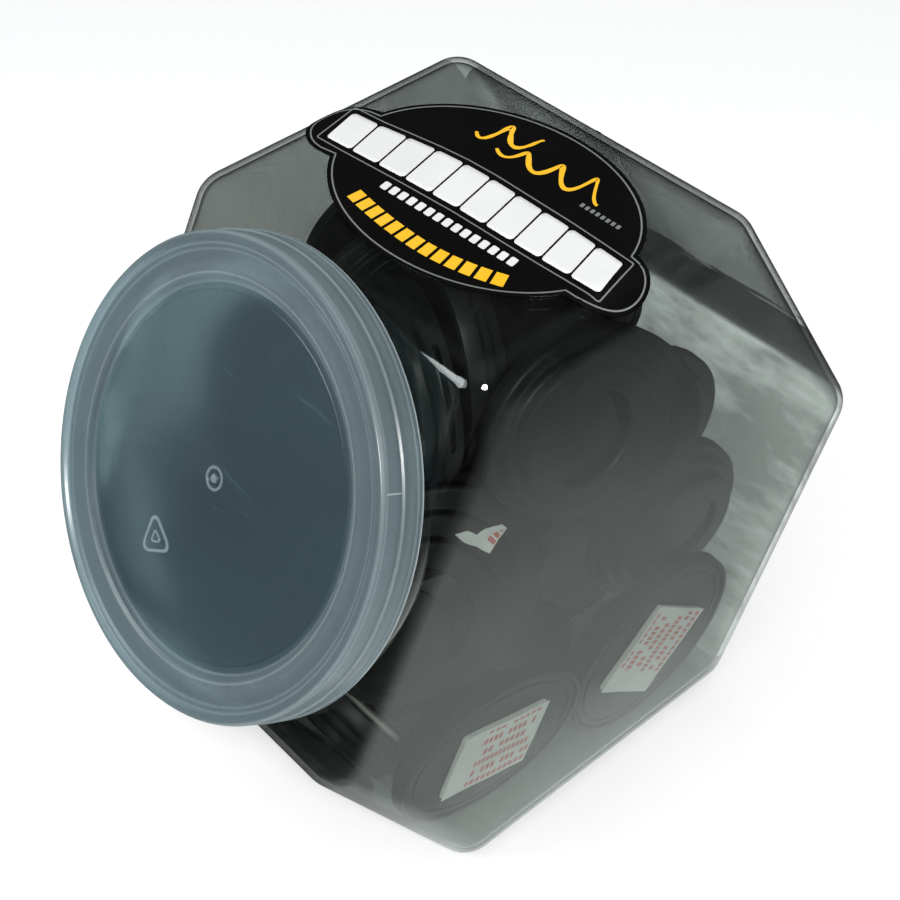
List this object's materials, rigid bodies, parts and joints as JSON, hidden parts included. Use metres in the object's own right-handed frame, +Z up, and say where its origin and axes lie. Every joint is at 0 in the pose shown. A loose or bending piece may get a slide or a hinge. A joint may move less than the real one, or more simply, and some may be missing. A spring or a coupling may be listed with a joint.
{
  "type": "display jar of pick holders",
  "caption": "Clear hexagonal counter jar with a snap lid, filled with spring-loaded guitar pick holders backed with adhesive pads.",
  "frame": {"origin": "centre of the flat face the jar rests on", "axes": "+X towards the right hexagonal end, -Y towards the neck and lid, +Z up"},
  "size_m": [0.12, 0.2076, 0.1829],
  "materials": {
    "clear_jar": "clear blown plastic, high gloss, faint grey-green tint, fine scuffs",
    "lid_plastic": "translucent natural low-density polyethylene, satin",
    "label_vinyl": "black printed vinyl, semi-gloss",
    "holder_plastic": "black moulded plastic, satin, light rub marks",
    "pusher_plastic": "black moulded plastic, matt",
    "spring_steel": "drawn spring wire",
    "pad_foam": "closed-cell foam, cut edges",
    "liner_paper": "silicone-coated release paper with red printed dashes"
  },
  "bodies": {
    "jar": {"jar_body": "clear_jar", "front_label": "label_vinyl", "holder_01_cover": "holder_plastic", "holder_01_base_plate": "holder_plastic", "holder_01_spring": "spring_steel", "holder_01_foam_pad": "pad_foam", "holder_01_liner": "liner_paper", "holder_02_cover": "holder_plastic", "holder_02_base_plate": "holder_plastic", "holder_02_spring": "spring_steel", "holder_02_foam_pad": "pad_foam", "holder_02_liner": "liner_paper", "holder_03_cover": "holder_plastic", "holder_03_base_plate": "holder_plastic", "holder_03_spring": "spring_steel", "holder_03_foam_pad": "pad_foam", "holder_03_liner": "liner_paper", "holder_04_cover": "holder_plastic", "holder_04_base_plate": "holder_plastic", "holder_04_spring": "spring_steel", "holder_04_foam_pad": "pad_foam", "holder_04_liner": "liner_paper", "holder_05_case": "holder_plastic", "holder_06_case": "holder_plastic", "holder_07_case": "holder_plastic", "holder_08_case": "holder_plastic", "holder_09_case": "holder_plastic", "holder_10_case": "holder_plastic", "holder_11_case": "holder_plastic", "holder_12_case": "holder_plastic", "holder_13_case": "holder_plastic", "holder_14_case": "holder_plastic", "holder_15_case": "holder_plastic", "holder_16_case": "holder_plastic", "holder_17_case": "holder_plastic", "holder_18_case": "holder_plastic", "holder_19_case": "holder_plastic", "holder_20_case": "holder_plastic", "holder_21_case": "holder_plastic", "holder_22_case": "holder_plastic", "holder_23_case": "holder_plastic", "holder_24_case": "holder_plastic", "holder_25_case": "holder_plastic", "holder_26_case": "holder_plastic", "holder_27_case": "holder_plastic", "holder_28_case": "holder_plastic", "holder_29_case": "holder_plastic", "holder_30_case": "holder_plastic", "holder_31_case": "holder_plastic", "holder_32_case": "holder_plastic", "holder_33_case": "holder_plastic", "holder_34_case": "holder_plastic"},
    "lid": {"lid": "lid_plastic"},
    "holder_01_pusher": {"holder_01_pusher": "pusher_plastic"},
    "holder_02_pusher": {"holder_02_pusher": "pusher_plastic"},
    "holder_03_pusher": {"holder_03_pusher": "pusher_plastic"},
    "holder_04_pusher": {"holder_04_pusher": "pusher_plastic"}
  },
  "joints": [
    {"name": "lid_lift", "type": "slide", "parent": "jar", "child": "lid", "axis": [0, -0.866, 0.5], "range_m": [0, 0.05]},
    {"name": "holder_01_push", "type": "slide", "parent": "jar", "child": "holder_01_pusher", "axis": [-0.9898, 0.039, 0.1372], "range_m": [-0.0032, 0], "stiffness_N_per_m": 120, "springref_m": 0.002, "deforming": ["holder_01_spring"]},
    {"name": "holder_02_push", "type": "slide", "parent": "jar", "child": "holder_02_pusher", "axis": [-0.9947, 0.0439, 0.0932], "range_m": [-0.0032, 0], "stiffness_N_per_m": 120, "springref_m": 0.002, "deforming": ["holder_02_spring"]},
    {"name": "holder_03_push", "type": "slide", "parent": "jar", "child": "holder_03_pusher", "axis": [0.9966, -0.045, 0.0688], "range_m": [-0.0032, 0], "stiffness_N_per_m": 120, "springref_m": 0.002, "deforming": ["holder_03_spring"]},
    {"name": "holder_04_push", "type": "slide", "parent": "jar", "child": "holder_04_pusher", "axis": [0.7947, -0.3468, 0.4982], "range_m": [-0.0032, 0], "stiffness_N_per_m": 120, "springref_m": 0.002, "deforming": ["holder_04_spring"]}
  ]
}
